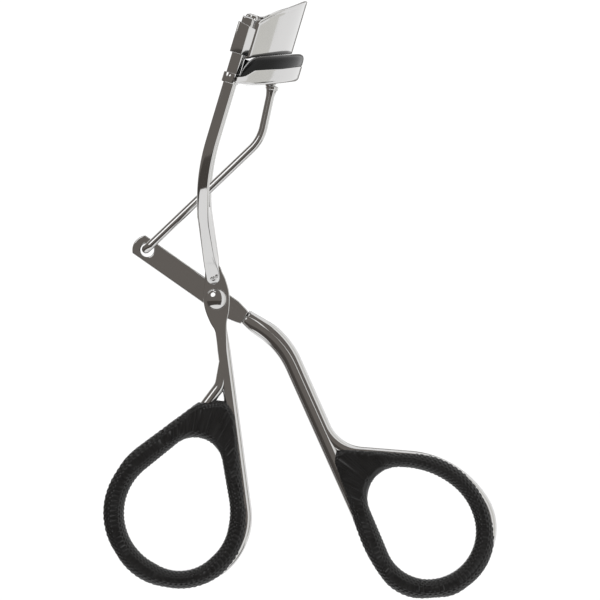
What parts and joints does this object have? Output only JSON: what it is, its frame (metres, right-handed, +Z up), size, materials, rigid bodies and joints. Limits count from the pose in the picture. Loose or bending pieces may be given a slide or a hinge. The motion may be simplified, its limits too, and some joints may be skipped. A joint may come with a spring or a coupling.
{
  "type": "eyelash curler",
  "caption": "Scissor-action eyelash curler: two finger loops drive a padded lower jaw along two guide arms against a curved upper jaw through a bent wire link.",
  "frame": {"origin": "bottom centre of the overall box, under the finger loops", "axes": "+Z up, from the finger loops to the jaws; +X from the concave side of the jaws to the convex side; Y across the jaws, along the pivot rivet"},
  "size_m": [0.0706, 0.0346, 0.1075],
  "materials": {
    "chrome": "polished plate over steel",
    "grip_rubber": "matte with a fine knitted relief",
    "pad_rubber": "smooth satin"
  },
  "bodies": {
    "frame": {"fixed_handle": "chrome", "guide_arm_front": "chrome", "guide_arm_rear": "chrome", "pivot_rivet": "chrome", "upper_jaw": "chrome", "fixed_handle_grip": "grip_rubber"},
    "lever": {"lever_handle": "chrome", "lever_handle_grip": "grip_rubber"},
    "jaw": {"lower_jaw": "chrome", "lash_pad": "pad_rubber"},
    "link": {"push_link": "chrome", "link_ferrule": "chrome"}
  },
  "joints": [
    {"name": "lever_pivot", "type": "hinge", "parent": "frame", "child": "lever", "pos_m": [-0.01489, 0, 0.05406], "axis": [0, -1, 0], "range_deg": [0, 30]},
    {"name": "jaw_slide", "type": "slide", "parent": "frame", "child": "jaw", "axis": [0.2874, 0, 0.9578], "range_m": [-0.0083, 0]},
    {"name": "link_swing", "type": "hinge", "parent": "jaw", "child": "link", "pos_m": [-0.00456, 0, 0.09357], "axis": [0, -1, 0], "range_deg": [-1, 0]}
  ],
  "couplings": [
    {"joint": "jaw_slide", "follows": "lever_pivot", "m_per_rad": -0.015573},
    {"joint": "link_swing", "follows": "lever_pivot", "ratio": -0.02602}
  ]
}
